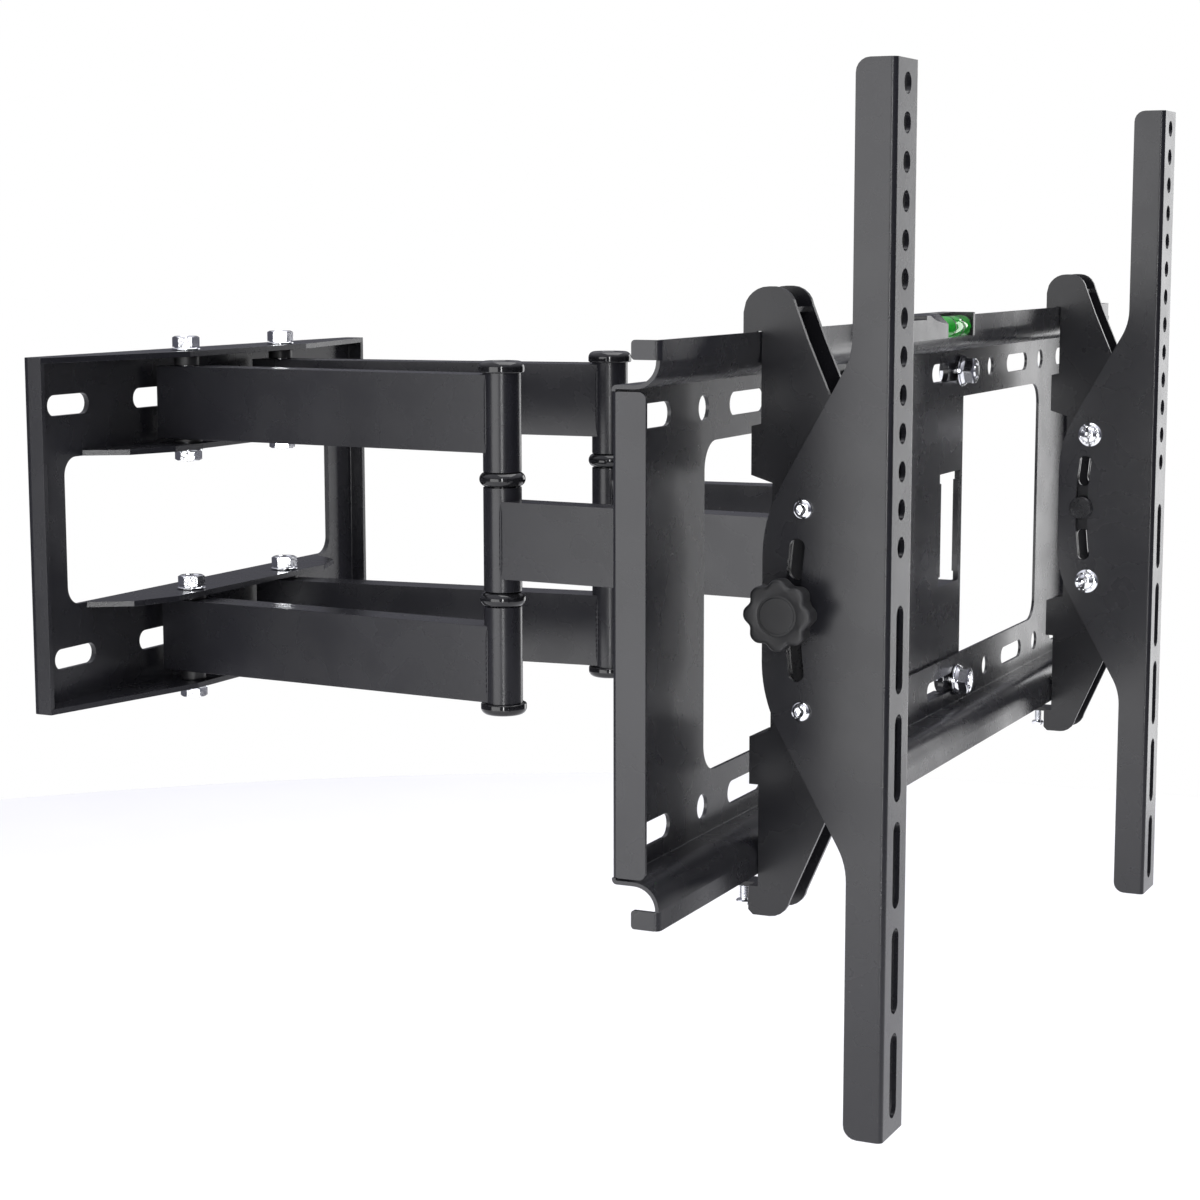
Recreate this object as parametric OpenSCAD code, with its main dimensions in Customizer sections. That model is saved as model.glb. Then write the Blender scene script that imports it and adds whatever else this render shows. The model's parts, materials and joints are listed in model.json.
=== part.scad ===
// Full-motion TV wall mount with two folding arms.
// Millimetres. +X to the right as seen from the TV side, +Y into the wall, +Z up.
// The origin is the centre of the wall bolt pattern, on the wall plate's back face.
// The model stands with its arms drawn out straight; both sides mirror each other.

/* [Linkage] */
// Half the distance between the two wall pivots
wall_pivot_half = 48.5; // [46:0.5:52]
// Distance of the wall pivots from the wall
wall_pivot_depth = 23.5; // [22:0.5:26]
// Length of a wall arm between its pivots
wall_link = 206; // [190:1:220]
// Length of a front arm between its pivots
front_link = 171; // [160:1:180]
// Half the distance between the two TV side pivots
tv_pivot_half = 80; // [76:1:84]

/* [Arm tubes] */
// Height of the rectangular arm tube
tube_h = 40; // [36:1:40]
// Width of the rectangular arm tube
tube_w = 18; // [16:1:18]
// Wall thickness of the arm tube
tube_wall = 2; // [1.5:0.5:3]
// Height of the wall arms' centre lines above and below the middle
tube_level = 65; // [65:1:70]
// Length of a tube beyond its wall pivot
wall_tail = 14; // [12:1:15]
// Length of a tube beyond its TV side pivot
tv_tail = 12; // [11:1:13]

/* [Knuckles] */
// Outside diameter of the hinge barrels
barrel_d = 20; // [19:0.5:22]
// Bore of the hinge barrels
barrel_bore = 16; // [14:0.5:16]
// Diameter of the hinge pin
hinge_pin_d = 12; // [10:0.5:12]
// Outside diameter of the plastic rings and caps
ring_d = 24; // [23:0.5:26]
// Half the height of the middle barrel
middle_barrel_half = 27; // [25:0.5:28]
// Height of the rim of an end cap
cap_h = 6; // [5:0.5:9]

/* [Wall plate] */
// Width of the wall plate
wall_plate_w = 327; // [322:1:350]
// Thickness of the wall plate
wall_plate_t = 3; // [2.5:0.5:3]
// Depth of the folded side flanges
side_flange_d = 12; // [8:1:12]
// Depth of the folded lugs that carry the wall pivots
lug_d = 34; // [33:1:36]
// Half the width of the window
wall_window_half = 134; // [124:1:136]
// Length of a wall screw slot
wall_slot_l = 36; // [20:1:38]
// Width of a wall screw slot
wall_slot_w = 11; // [8:0.5:12]
// Distance of the outer slots from the middle
wall_slot_outer = 129; // [124:1:132]
// Distance of the inner slots from the middle
wall_slot_inner = 52.5; // [48:0.5:56]
// Distance of the slot rows from the middle
wall_slot_row = 67.5; // [64:0.5:70]

/* [Arm bracket] */
// Width of the bracket that joins the arms to the TV plate
bracket_w = 203; // [200:1:210]
// Height of that bracket
bracket_h = 190; // [188:1:192]
// Thickness of that bracket
bracket_t = 3; // [2.5:0.5:3]
// Distance of the TV side pivots behind that bracket
pivot_standoff = 21; // [20:0.2:24]
// Half the width between its bolts
bracket_bolt_half = 90; // [86:0.5:92]
// Distance of its bolt rows from the middle
bracket_bolt_row = 84; // [83:0.5:85]

/* [TV plate] */
// Width of the TV plate and of its lips
tv_plate_w = 683; // [660:1:700]
// Sideways setting of the TV plate on the arm bracket
tv_plate_shift = -9; // [-15:0.5:15]
// Sheet thickness of the TV plate
tv_plate_t = 1.6; // [1.5:0.1:2.5]
// Height of the lip's edge above the middle
lip_top = 115; // [115:1:118]
// Outside radius of the curl below the lip
lip_curl_r = 10.8; // [10:0.1:12]
// Distance from the web's front face to the lip's front face
lip_reach = 18.6; // [17:0.1:19.4]
// Half the width of the window
tv_window_half_w = 253.5; // [250:0.5:256]
// Half the height of the window
tv_window_half_h = 70; // [64:1:72]

/* [Hook brackets and rails] */
// Distance of the left rail from the middle of the TV plate
rail_left_offset = 227; // [200:1:240]
// Distance of the right rail from the middle of the TV plate
rail_right_offset = 238; // [200:1:240]
// Length of a TV rail
rail_l = 450; // [440:2:480]
// Width of a TV rail
rail_w = 28.8; // [28:0.2:32]
// Sheet thickness of the rail and of the hook bracket
rail_t = 2; // [1.5:0.5:2]
// Depth of the rail's side flanges at its ends
rail_flange_d = 17.2; // [16:0.2:20]
// Depth of the rail's belly
belly_d = 55.7; // [55:0.1:56]
// Distance from the rail's front face to the lip's front face
rail_to_lip = 58.3; // [58:0.1:60]
// Distance of the tilt axis in front of the rail's front face
tilt_axis_out = 165; // [160:1:170]
// Distance of the tilt screws from the middle
tilt_screw_z = 42.4; // [40:0.2:44]
// Largest tilt each way, in degrees
tilt_max = 6.5; // [5:0.1:6.5]

/* [Fasteners] */
// Diameter of the pivot bolts and of the plate bolts
bolt_d = 8; // [6:0.5:8]
// Width across flats of their heads and nuts
bolt_af = 13; // [10:0.5:13]
// Diameter of the tilt screws and of the knob stud
screw_d = 6; // [5:0.5:6]
// Diameter of the lock screws
lock_d = 4; // [3:0.5:4]

/* [Hidden] */

left = -1;
right = 1;
eps = 0.1;              // overlap that makes a cut run clean through
gap = 0.3;              // air between flat faces that move past each other
fit = 0.1;              // added to a shaft's diameter to give its running bore

// Linkage: each side is straight at rest, from its wall pivot to its TV pivot.
arm_span = wall_link + front_link;
arm_spread = tv_pivot_half - wall_pivot_half;
arm_lean = asin(arm_spread / arm_span);
tv_pivot_y = -(wall_pivot_depth + sqrt(arm_span * arm_span - arm_spread * arm_spread));

// Arm stack, measured up from the middle.
tube_low = tube_level - tube_h / 2;
tube_high = tube_level + tube_h / 2;
barrel_top = tube_high + 1;
ring_low = middle_barrel_half + gap;
ring_high = tube_low - 10;
sleeve_l = 12;
cap_stem_l = 12;

// Wall plate lugs above and below each wall arm.
lug_gap_low = 2.5;
lug_gap_high = 5.5;
lug_inner = tube_low - lug_gap_low - wall_plate_t;
wall_plate_half_h = tube_high + lug_gap_high + wall_plate_t;
wall_bend_r = 4;

// Stack of depths from the TV pivots out to the rails.
bracket_back_y = tv_pivot_y - pivot_standoff;
plate_back_y = bracket_back_y - bracket_t - gap;
plate_front_y = plate_back_y - tv_plate_t;
lip_front_y = plate_front_y - lip_reach;
rail_front_y = lip_front_y - rail_to_lip;

// TV pivot lugs are folded out of two square cut-outs in the arm bracket.
tab_w = 30;
tab_z = 30;
tab_d = pivot_standoff + 12;
relief_w = 2.5;
relief_h = 5;

// TV plate profile.
curl_y = lip_front_y + lip_curl_r;
curl_z = lip_top - 8;
shelf_z = curl_z - lip_curl_r;
plate_bend_r = 2;
plate_slot_w = 10;

// Hook bracket, measured inwards from the rail's front face.
cheek_t = 2.2;
cheek_gap = 1.2;
cheek_out = rail_w / 2 - rail_t - cheek_gap;
pad_u = rail_to_lip + 4;
neck_u = rail_to_lip - 5.5;
hook_top = lip_top + gap;
foot_top = lip_top + 5.2;
foot_u = rail_to_lip + 4;
lock_u = rail_to_lip + 10.4;

// Arcs about the tilt axis.
screw_u = 37.8;
stud_u = 42;
screw_r = sqrt((tilt_axis_out + screw_u) ^ 2 + tilt_screw_z ^ 2);
screw_angle = atan(tilt_screw_z / (tilt_axis_out + screw_u));
stud_r = tilt_axis_out + stud_u;

// Rail holes.
hole_d = 8.8;
hole_pitch = 15.7;
hole_count = 13;
hole_first = rail_l / 2 - 9.8;
slot_l = 37.2;
slot_pitch = 45.8;
slot_count = 5;
slot_last = 25.8 - rail_l / 2;

steel_black = [0.16, 0.16, 0.17];
steel_grey = [0.24, 0.24, 0.26];
zinc = [0.78, 0.79, 0.81];
nylon_black = [0.05, 0.05, 0.055];
vial_green = [0.1, 0.85, 0.15, 0.7];

// ---------- shared shapes ----------

// Points along an arc, for outlines.
function arc(cx, cy, r, a0, a1, n = 8) =
  [for (i = [0 : n]) let (a = a0 + (a1 - a0) * i / n) [cx + r * cos(a), cy + r * sin(a)]];

// The left side is the mirror image of the right side.
module on_side(side) {
  if (side < 0) mirror([1, 0, 0]) children();
  else children();
}

// Stands a flat outline (x, z) up and thickens it from y_back towards the TV.
module sheet_xz(y_back, t) {
  translate([0, y_back, 0]) rotate([90, 0, 0]) linear_extrude(t) children();
}

// Runs an outline (y, z) along X, from x0 over a length.
module run_x(x0, l) {
  translate([x0, 0, 0]) rotate([90, 0, 90]) linear_extrude(l) children();
}

module rounded_rect(w, h, r) {
  square([w - 2 * r, h], center = true);
  square([w, h - 2 * r], center = true);
  for (x = [-1, 1], y = [-1, 1])
    translate([x * (w / 2 - r), y * (h / 2 - r)]) circle(r, $fn = 48);
}

// A slot with round ends along the first axis.
module slot(l, w) {
  square([l - w, w], center = true);
  for (x = [-1, 1]) translate([x * (l - w) / 2, 0]) circle(d = w, $fn = 32);
}

// A round-ended arc slot about the origin, from angle a0 to a1.
module arc_slot(r, w, a0, a1) {
  far = r * 1.2;
  intersection() {
    difference() {
      circle(r + w / 2, $fn = 180);
      circle(r - w / 2, $fn = 180);
    }
    polygon([[0, 0], [far * cos(a0), far * sin(a0)], [far * cos(a1), far * sin(a1)]]);
  }
  for (a = [a0, a1]) rotate(a) translate([r, 0]) circle(d = w, $fn = 32);
}

module disc(z0, h, d, bore = 0) {
  translate([0, 0, z0]) difference() {
    cylinder(d = d, h = h, $fn = 64);
    if (bore > 0) translate([0, 0, -eps]) cylinder(d = bore, h = h + 2 * eps, $fn = 64);
  }
}

// A hexagon across flats, with its top edge turned down as on a real nut.
module hexagon(z0, h, af, bore = 0) {
  corner_d = af / cos(30);
  translate([0, 0, z0]) difference() {
    intersection() {
      cylinder(d = corner_d, h = h, $fn = 6);
      union() {
        cylinder(d = corner_d + eps, h = h - 1.2, $fn = 48);
        translate([0, 0, h - 1.2]) cylinder(d1 = corner_d + eps, d2 = af - 0.6, h = 1.2, $fn = 48);
      }
    }
    if (bore > 0) translate([0, 0, -eps]) cylinder(d = bore, h = h + 2 * eps, $fn = 48);
  }
}

// ---------- places ----------

module at_wall_pivot(side) {
  on_side(side) translate([wall_pivot_half, -wall_pivot_depth, 0]) rotate(arm_lean) children();
}

module at_knuckle(side) {
  at_wall_pivot(side) translate([0, -wall_link, 0]) children();
}

module at_tv_pivot(side) {
  on_side(side) translate([tv_pivot_half, tv_pivot_y, 0]) children();
}

module at_rail(side) {
  offset_x = side < 0 ? rail_left_offset : rail_right_offset;
  on_side(side) translate([offset_x + side * tv_plate_shift, rail_front_y, 0]) children();
}

module on_plate() {
  translate([tv_plate_shift, 0, 0]) children();
}

// ---------- wall plate ----------

// The outer lugs taper all the way from the side flanges to the pivots.
module outer_lug_outline() {
  half_w = wall_plate_w / 2;
  flat_half = 60;
  polygon([
    [wall_bend_r - half_w, 0], [-half_w, -wall_bend_r], [-half_w, -side_flange_d], [-flat_half, -lug_d],
    [flat_half, -lug_d], [half_w, -side_flange_d], [half_w, -wall_bend_r], [half_w - wall_bend_r, 0]
  ]);
}

// The inner lugs border the window.
module inner_lug_outline() {
  base_half = 120;
  knee_half = 104;
  flat_half = 76;
  knee_d = lug_d - 10;
  polygon([
    [-base_half, 0], [-knee_half, -knee_d], [-flat_half, -lug_d],
    [flat_half, -lug_d], [knee_half, -knee_d], [base_half, 0]
  ]);
}

// A channel outline (x, y) with rounded bends, open towards the TV.
module channel_outline(w, d, r) {
  translate([-w / 2, -d]) square([w, d - r]);
  translate([r - w / 2, -d]) square([w - 2 * r, d]);
  for (x = [-1, 1]) translate([x * (w / 2 - r), -r]) circle(r, $fn = 48);
}

module wall_slots() {
  for (x = [wall_slot_outer, wall_slot_inner], sx = [-1, 1], sz = [-1, 1])
    translate([sx * x, sz * wall_slot_row]) slot(wall_slot_l, wall_slot_w);
}

module wall_plate() color(steel_black) {
  t = wall_plate_t;
  difference() {
    union() {
      // channel with folded sides
      translate([0, 0, -wall_plate_half_h]) linear_extrude(2 * wall_plate_half_h) difference() {
        channel_outline(wall_plate_w, side_flange_d, wall_bend_r);
        translate([0, -t]) channel_outline(wall_plate_w - 2 * t, side_flange_d, wall_bend_r - t);
      }
      // folded lugs above and below each pair of wall arms
      for (s = [-1, 1]) scale([1, 1, s]) {
        translate([0, 0, wall_plate_half_h - t]) linear_extrude(t) outer_lug_outline();
        translate([0, 0, lug_inner]) linear_extrude(t) inner_lug_outline();
      }
    }
    sheet_xz(eps, wall_plate_t + 2 * eps) {
      rounded_rect(2 * wall_window_half, 2 * lug_inner, 10);
      wall_slots();
    }
    for (x = [-1, 1]) translate([x * wall_pivot_half, -wall_pivot_depth, -wall_plate_half_h - eps])
      cylinder(d = bolt_d + fit, h = 2 * (wall_plate_half_h + eps), $fn = 48);
  }
}

// ---------- wall pivots: one bolt through each pair of lugs ----------

pivot_washer_t = 1;
pivot_nut_h = 5.6;
head_h = 6.5;
nut_h = 7;
shank_proud = 0.5;
head_z = wall_plate_half_h + gap + pivot_washer_t;
nut_z = lug_inner - gap - pivot_washer_t;

// The upper bolt has its head on top; the lower one has its head in the window.
module wall_pivot_bolts(side) color(zinc) at_wall_pivot(side) {
  shank_low = nut_z - pivot_nut_h - shank_proud;
  disc(shank_low, head_z - shank_low, bolt_d);
  hexagon(head_z, head_h, bolt_af);
  low_head = -(lug_inner - gap - pivot_washer_t);
  low_end = -(head_z + pivot_nut_h + shank_proud);
  disc(low_end, low_head - low_end, bolt_d);
  hexagon(low_head, head_h, bolt_af);
}

module wall_pivot_nuts(side) color(zinc) at_wall_pivot(side) {
  mirror([0, 0, 1]) {
    hexagon(-nut_z, pivot_nut_h, bolt_af, bolt_d);
    hexagon(head_z, pivot_nut_h, bolt_af, bolt_d);
  }
}

module wall_pivot_washers(side) color(zinc) at_wall_pivot(side)
  for (z = [head_z - pivot_washer_t, nut_z, -head_z, -nut_z - pivot_washer_t])
    disc(z, pivot_washer_t, bolt_af + 3, bolt_d);

// Spacers fill the gaps between the tubes and the lugs.
module wall_pivot_bushes(side) color(nylon_black) at_wall_pivot(side) for (s = [-1, 1]) scale([1, 1, s]) {
  disc(tube_high + gap, lug_gap_high - 2 * gap, bolt_af + 1, bolt_d);
  disc(tube_low - lug_gap_low + gap, lug_gap_low - 2 * gap, bolt_af + 3, bolt_d);
}

// ---------- wall arms ----------

// A square-cut tube along -Y, from y_start down to y_end, closed where it meets a barrel.
module arm_tube(y_start, y_end, core_start, core_end) {
  translate([-tube_w / 2, y_end, -tube_h / 2]) difference() {
    cube([tube_w, y_start - y_end, tube_h]);
    translate([tube_wall, core_end - y_end, tube_wall])
      cube([tube_w - 2 * tube_wall, core_start - core_end, tube_h - 2 * tube_wall]);
  }
}

module wall_arm(side, level) color(steel_black) at_wall_pivot(side) scale([1, 1, level])
  difference() {
    union() {
      translate([0, 0, tube_level])
        arm_tube(wall_tail, -wall_link, wall_tail + eps, -wall_link + barrel_d / 2);
      translate([0, -wall_link, ring_high]) cylinder(d = barrel_d, h = barrel_top - ring_high, $fn = 64);
    }
    translate([0, -wall_link, ring_high - eps])
      cylinder(d = barrel_bore, h = barrel_top - ring_high + 2 * eps, $fn = 64);
    translate([0, 0, tube_low - eps]) cylinder(d = bolt_d + fit, h = tube_h + 2 * eps, $fn = 48);
  }

// ---------- knuckles ----------

module knuckle_pin(side) color(zinc) at_knuckle(side) {
  pin_half = barrel_top - 3;
  disc(-pin_half, 2 * pin_half, hinge_pin_d);
}

// A flanged plastic bush between the middle barrel and an outer barrel.
module knuckle_rings(side) color(nylon_black) at_knuckle(side) for (s = [-1, 1]) scale([1, 1, s]) {
  bore = hinge_pin_d + fit;
  rotate_extrude($fn = 64) polygon([
    [bore / 2, ring_low - sleeve_l], [(barrel_bore - fit) / 2, ring_low - sleeve_l],
    [(barrel_bore - fit) / 2, ring_low], [ring_d / 2 - 1.5, ring_low],
    [ring_d / 2, ring_low + 1.5], [ring_d / 2, ring_high - 1.5], [ring_d / 2 - 1.5, ring_high],
    [(barrel_bore - fit) / 2, ring_high], [(barrel_bore - fit) / 2, ring_high + sleeve_l],
    [bore / 2, ring_high + sleeve_l]
  ]);
}

// A plastic end cap with a domed edge and a stem that centres the pin.
module knuckle_caps(side) color(nylon_black) at_knuckle(side) for (s = [-1, 1]) scale([1, 1, s]) {
  stem_r = (barrel_bore - fit) / 2;
  pin_r = (hinge_pin_d + fit) / 2;
  rotate_extrude($fn = 64) polygon(concat(
    [[pin_r, barrel_top - cap_stem_l], [stem_r, barrel_top - cap_stem_l], [stem_r, barrel_top]],
    [[ring_d / 2 - 1, barrel_top], [ring_d / 2, barrel_top + 1]],
    arc(ring_d / 2 - 3, barrel_top + cap_h - 3, 3, 0, 90, 5),
    [[0, barrel_top + cap_h], [0, barrel_top - 2], [pin_r, barrel_top - 2]]
  ));
}

// ---------- front arms ----------

// The right front arm closes the linkage, so its TV side bore is a loose one.
loose_bore = bolt_d + 4.6;

module front_arm(side) color(steel_black) at_knuckle(side) {
  bore = side < 0 ? bolt_d + fit : loose_bore;
  difference() {
    union() {
      arm_tube(0, -front_link - tv_tail, -barrel_d / 2, -front_link - tv_tail - eps);
      translate([0, 0, -middle_barrel_half]) cylinder(d = barrel_d, h = 2 * middle_barrel_half, $fn = 64);
    }
    translate([0, 0, -middle_barrel_half - eps])
      cylinder(d = barrel_bore, h = 2 * (middle_barrel_half + eps), $fn = 64);
    translate([0, -front_link, -tube_h / 2 - eps]) cylinder(d = bore, h = tube_h + 2 * eps, $fn = 48);
  }
}

// ---------- TV side pivots ----------

tab_top = tab_z + bracket_t;

module tv_pivot_bolt(side) color(zinc) at_tv_pivot(side) {
  shank_low = -tab_top - gap - nut_h - shank_proud;
  disc(shank_low, tab_top + gap - shank_low, bolt_d);
  hexagon(tab_top + gap, head_h, bolt_af);
}

module tv_pivot_nut(side) color(zinc) at_tv_pivot(side) mirror([0, 0, 1])
  hexagon(tab_top + gap, nut_h, bolt_af, bolt_d);

module tv_pivot_bushes(side) color(nylon_black) at_tv_pivot(side)
  for (z = [tube_h / 2 + gap, -tab_z + gap])
    disc(z, tab_z - tube_h / 2 - 2 * gap, bolt_af + 3, bolt_d);

// ---------- arm bracket ----------

module bracket_tab(bore_x) {
  difference() {
    union() {
      translate([bore_x - tab_w / 2, bracket_back_y - eps, tab_z])
        cube([tab_w, tab_d - tab_w / 2 + eps, bracket_t]);
      translate([bore_x, bracket_back_y + tab_d - tab_w / 2, tab_z])
        cylinder(d = tab_w, h = bracket_t, $fn = 64);
    }
    translate([bore_x, tv_pivot_y, tab_z - eps]) cylinder(d = bolt_d + fit, h = bracket_t + 2 * eps, $fn = 48);
  }
}

module arm_bracket() color(steel_grey) {
  fold_d = 12;
  slot_x = 59;
  slot_l = 30;
  difference() {
    union() {
      sheet_xz(bracket_back_y, bracket_t) rounded_rect(bracket_w, bracket_h, 5);
      for (s = [-1, 1]) scale([1, 1, s])
        translate([-bracket_w / 2 + 6, bracket_back_y - bracket_t, bracket_h / 2 - bracket_t])
          cube([bracket_w - 12, fold_d, bracket_t]);
    }
    sheet_xz(bracket_back_y + eps, bracket_t + 2 * eps) {
      for (x = [-1, 1]) translate([x * tv_pivot_half, 0]) {
        square([tab_w, 2 * tab_z], center = true);
        for (s = [-1, 1]) translate([0, s * (tab_z - relief_h / 2)])
          square([tab_w + 2 * relief_w, relief_h], center = true);
      }
      for (x = [-1, 1], z = [-1, 1]) scale([x, z]) {
        translate([bracket_bolt_half, bracket_bolt_row]) circle(d = bolt_d + fit, $fn = 48);
        translate([slot_x, bracket_bolt_row]) slot(slot_l, plate_slot_w);
      }
    }
  }
  for (x = [-1, 1], s = [-1, 1]) scale([1, 1, s]) bracket_tab(x * tv_pivot_half);
}

module at_bracket_bolts()
  for (x = [-1, 1], z = [-1, 1])
    translate([x * bracket_bolt_half, plate_front_y, z * bracket_bolt_row]) rotate([90, 0, 0]) children();

bracket_washer_t = 1;

module bracket_bolts() color(zinc) {
  sheets = bracket_t + gap + tv_plate_t;
  at_bracket_bolts() {
    disc(-sheets, sheets + gap + bracket_washer_t + nut_h + shank_proud, bolt_d);
    mirror([0, 0, 1]) hexagon(sheets, 5.3, bolt_af);
  }
}

module bracket_nuts() color(zinc) at_bracket_bolts()
  hexagon(gap + bracket_washer_t, nut_h, bolt_af, bolt_d);

module bracket_washers() color(zinc) at_bracket_bolts()
  disc(gap, bracket_washer_t, bolt_af + 4, bolt_d);

// ---------- TV plate ----------

// Lip, curl and shelf of one edge, as an outline (y, z).
module lip_profile() {
  t = tv_plate_t;
  bend_y = plate_back_y - plate_bend_r;
  bend_z = shelf_z + t - plate_bend_r;
  translate([lip_front_y, curl_z]) square([t, lip_top - curl_z]);
  intersection() {
    translate([curl_y, curl_z]) difference() {
      circle(lip_curl_r, $fn = 96);
      circle(lip_curl_r - t, $fn = 96);
    }
    translate([lip_front_y, shelf_z]) square(lip_curl_r);
  }
  translate([curl_y, shelf_z]) square([bend_y - curl_y, t]);
  intersection() {
    translate([bend_y, bend_z]) difference() {
      circle(plate_bend_r, $fn = 48);
      circle(plate_bend_r - t, $fn = 48);
    }
    translate([bend_y, bend_z]) square(plate_bend_r);
  }
}

// Slots and holes of one quarter of the TV plate, in its two bolt rows.
module plate_holes() {
  wide_slot_x = 84;
  wide_slot_l = 69;
  short_slot_l = 41;
  for (sx = [-1, 1], sz = [-1, 1]) scale([sx, sz]) translate([0, bracket_bolt_row]) {
    translate([wide_slot_x, 0]) slot(wide_slot_l, plate_slot_w);
    for (x = [154, 254.5]) translate([x, 0]) circle(d = plate_slot_w + 1, $fn = 48);
    for (x = [206, 309]) translate([x, 0]) slot(short_slot_l, plate_slot_w);
  }
}

// Rounds the upright folds of one edge line; front is -1 for an edge facing the TV.
module upright_bends(y, front, r, low, high) {
  h = high - low + 2 * eps;
  for (x = [-1, 1]) scale([x, front, 1])
    translate([tv_plate_w / 2 - r, front * y - r, low - eps]) difference() {
      cube([r + eps, r + eps, h]);
      cylinder(r = r, h = h, $fn = 48);
    }
}

module tv_plate() color(steel_grey) on_plate() {
  half_w = tv_plate_w / 2;
  t = tv_plate_t;
  web_top = shelf_z + t - plate_bend_r;
  flange_d = t + 12.7;
  flange_half_h = shelf_z - 1;
  flange_corner = 3;
  stop_d = 11.2;
  stop_h = 7.6;
  stop_bend_r = 2.6;
  difference() {
    union() {
      run_x(-half_w, tv_plate_w) {
        translate([plate_front_y, -web_top]) square([t, 2 * web_top]);
        lip_profile();
        mirror([0, 1]) lip_profile();
      }
      // side flanges folded forwards, with round free corners
      for (x = [-half_w, half_w - t]) run_x(x, t) {
        translate([plate_back_y - flange_d / 2, 0]) rounded_rect(flange_d, 2 * flange_half_h, flange_corner);
        translate([plate_front_y, -flange_half_h]) square([t, 2 * flange_half_h]);
      }
      // end stops folded back from the lips
      for (x = [-half_w, half_w - t], s = [-1, 1]) scale([1, 1, s])
        run_x(x, t) translate([lip_front_y + t / 2 + stop_d / 2, lip_top - stop_h / 2])
          rounded_rect(stop_d, stop_h, 1.5);
    }
    sheet_xz(plate_back_y + eps, t + 2 * eps) {
      rounded_rect(2 * tv_window_half_w, 2 * tv_window_half_h, 12);
      plate_holes();
    }
    upright_bends(plate_back_y, 1, plate_bend_r, -flange_half_h, flange_half_h);
    for (s = [-1, 1]) scale([1, 1, s])
      upright_bends(lip_front_y, -1, stop_bend_r, lip_top - stop_h, lip_top);
  }
}

// ---------- spirit level ----------

level_left = -88;        // ends of the housing, from the middle of the TV plate
level_step = -59.4;
level_right = 18.5;
level_low = lip_top - 9.5;
level_high = lip_top + 2.3;
level_d = 13.3;          // depth of the housing in front of the lip
level_floor = 1.3;       // its wall between the vial and the lip
groove_fit = 0.05;
vial_l = 40;
vial_d = 11;
vial_left = -25;
vial_y = lip_front_y - level_d + 5.8;
vial_z = lip_top - 4.6;

// A saddle that clips over the top lip, with a bay for the vial at its right end.
module level_housing() color(nylon_black) on_plate() difference() {
  wrap = tv_plate_t + 2.2;
  scoop_r = 122;
  union() {
    run_x(level_left, level_right - level_left) translate([lip_front_y - level_d, level_low])
      square([level_d + wrap, lip_top + 0.4 - level_low]);
    run_x(level_step, level_right - level_step) translate([lip_front_y - level_d, lip_top])
      square([level_d + wrap, level_high - lip_top]);
  }
  // groove for the lip
  translate([level_left - eps, lip_front_y - groove_fit, level_low - eps])
    cube([level_right - level_left + 2 * eps, tv_plate_t + 2 * groove_fit, lip_top - level_low + eps]);
  // bay for the vial, open in front, above and below
  translate([vial_left - groove_fit, lip_front_y - level_d - eps, level_low - eps])
    cube([vial_l + 2 * groove_fit, level_d - level_floor + eps, level_high - level_low + 2 * eps]);
  // finger scoop in the top front edge, beside the vial
  translate([vial_left - groove_fit, lip_front_y - level_d, lip_top - 2.5]) rotate([-45, 0, 0])
    translate([0, -scoop_r, -20]) intersection() {
      cylinder(r = scoop_r, h = 40, $fn = 240);
      translate([-scoop_r, -scoop_r, 0]) cube([scoop_r, 2 * scoop_r, 40]);
    }
}

module level_vial() color(vial_green) on_plate()
  translate([vial_left, vial_y, vial_z]) rotate([0, 90, 0]) cylinder(d = vial_d, h = vial_l, $fn = 64);

// ---------- hook brackets ----------

// Front edge of a cheek (distance from the rail's front, height), from its middle to its end.
cheek_edge = [[22, 60], [27.1, 87.5], [37.6, 111.5]];
pad_low = 55.5;
pad_high = 76;
foot_low = lip_top + 17.7;
foot_r = 9.2;
head_high = lip_top + 18.7;
head_r = 9.5;

// Side view of a cheek, cut about the tilt axis.
module cheek_outline() {
  slot_half = tilt_max + 0.9;
  lip_slot = tv_plate_t + 2 * gap;
  lip_u = rail_to_lip - gap;
  hook_u = rail_to_lip + 7.9;
  nose_r = 11;
  arc_u = cheek_edge[2][0] + 15;
  difference() {
    polygon(concat(
      [for (p = cheek_edge) [p[0], -p[1]]],
      arc(arc_u, -foot_low + foot_r, foot_r, 190, 270, 5),
      [[foot_u - 2.1, -foot_low], [foot_u, -foot_low + 2.1], [foot_u, -foot_top], [lip_u, -foot_top]],
      [[lip_u, -pad_high], [pad_u, -pad_high], [pad_u, -pad_low], [neck_u, -pad_low + 3]],
      [[neck_u, pad_low - 3], [pad_u, pad_low], [pad_u, pad_high], [lip_u, pad_high + 1]],
      [[lip_u, hook_top], [lip_u + lip_slot, hook_top]],
      [[lip_u + lip_slot, lip_top - 6], [hook_u, lip_top - 6], [hook_u, lip_top + 8]],
      arc(hook_u - nose_r, head_high - nose_r, nose_r, 25, 90, 5),
      arc(arc_u, head_high - head_r, head_r, 90, 170, 5),
      [for (i = [2 : -1 : 0]) cheek_edge[i]]
    ));
    translate([-tilt_axis_out, 0]) for (s = [-1, 1])
      arc_slot(screw_r, screw_d + 0.8, s * (screw_angle - slot_half), s * (screw_angle + slot_half));
    translate([stud_u, 0]) circle(d = screw_d + fit, $fn = 48);
  }
}

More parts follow.
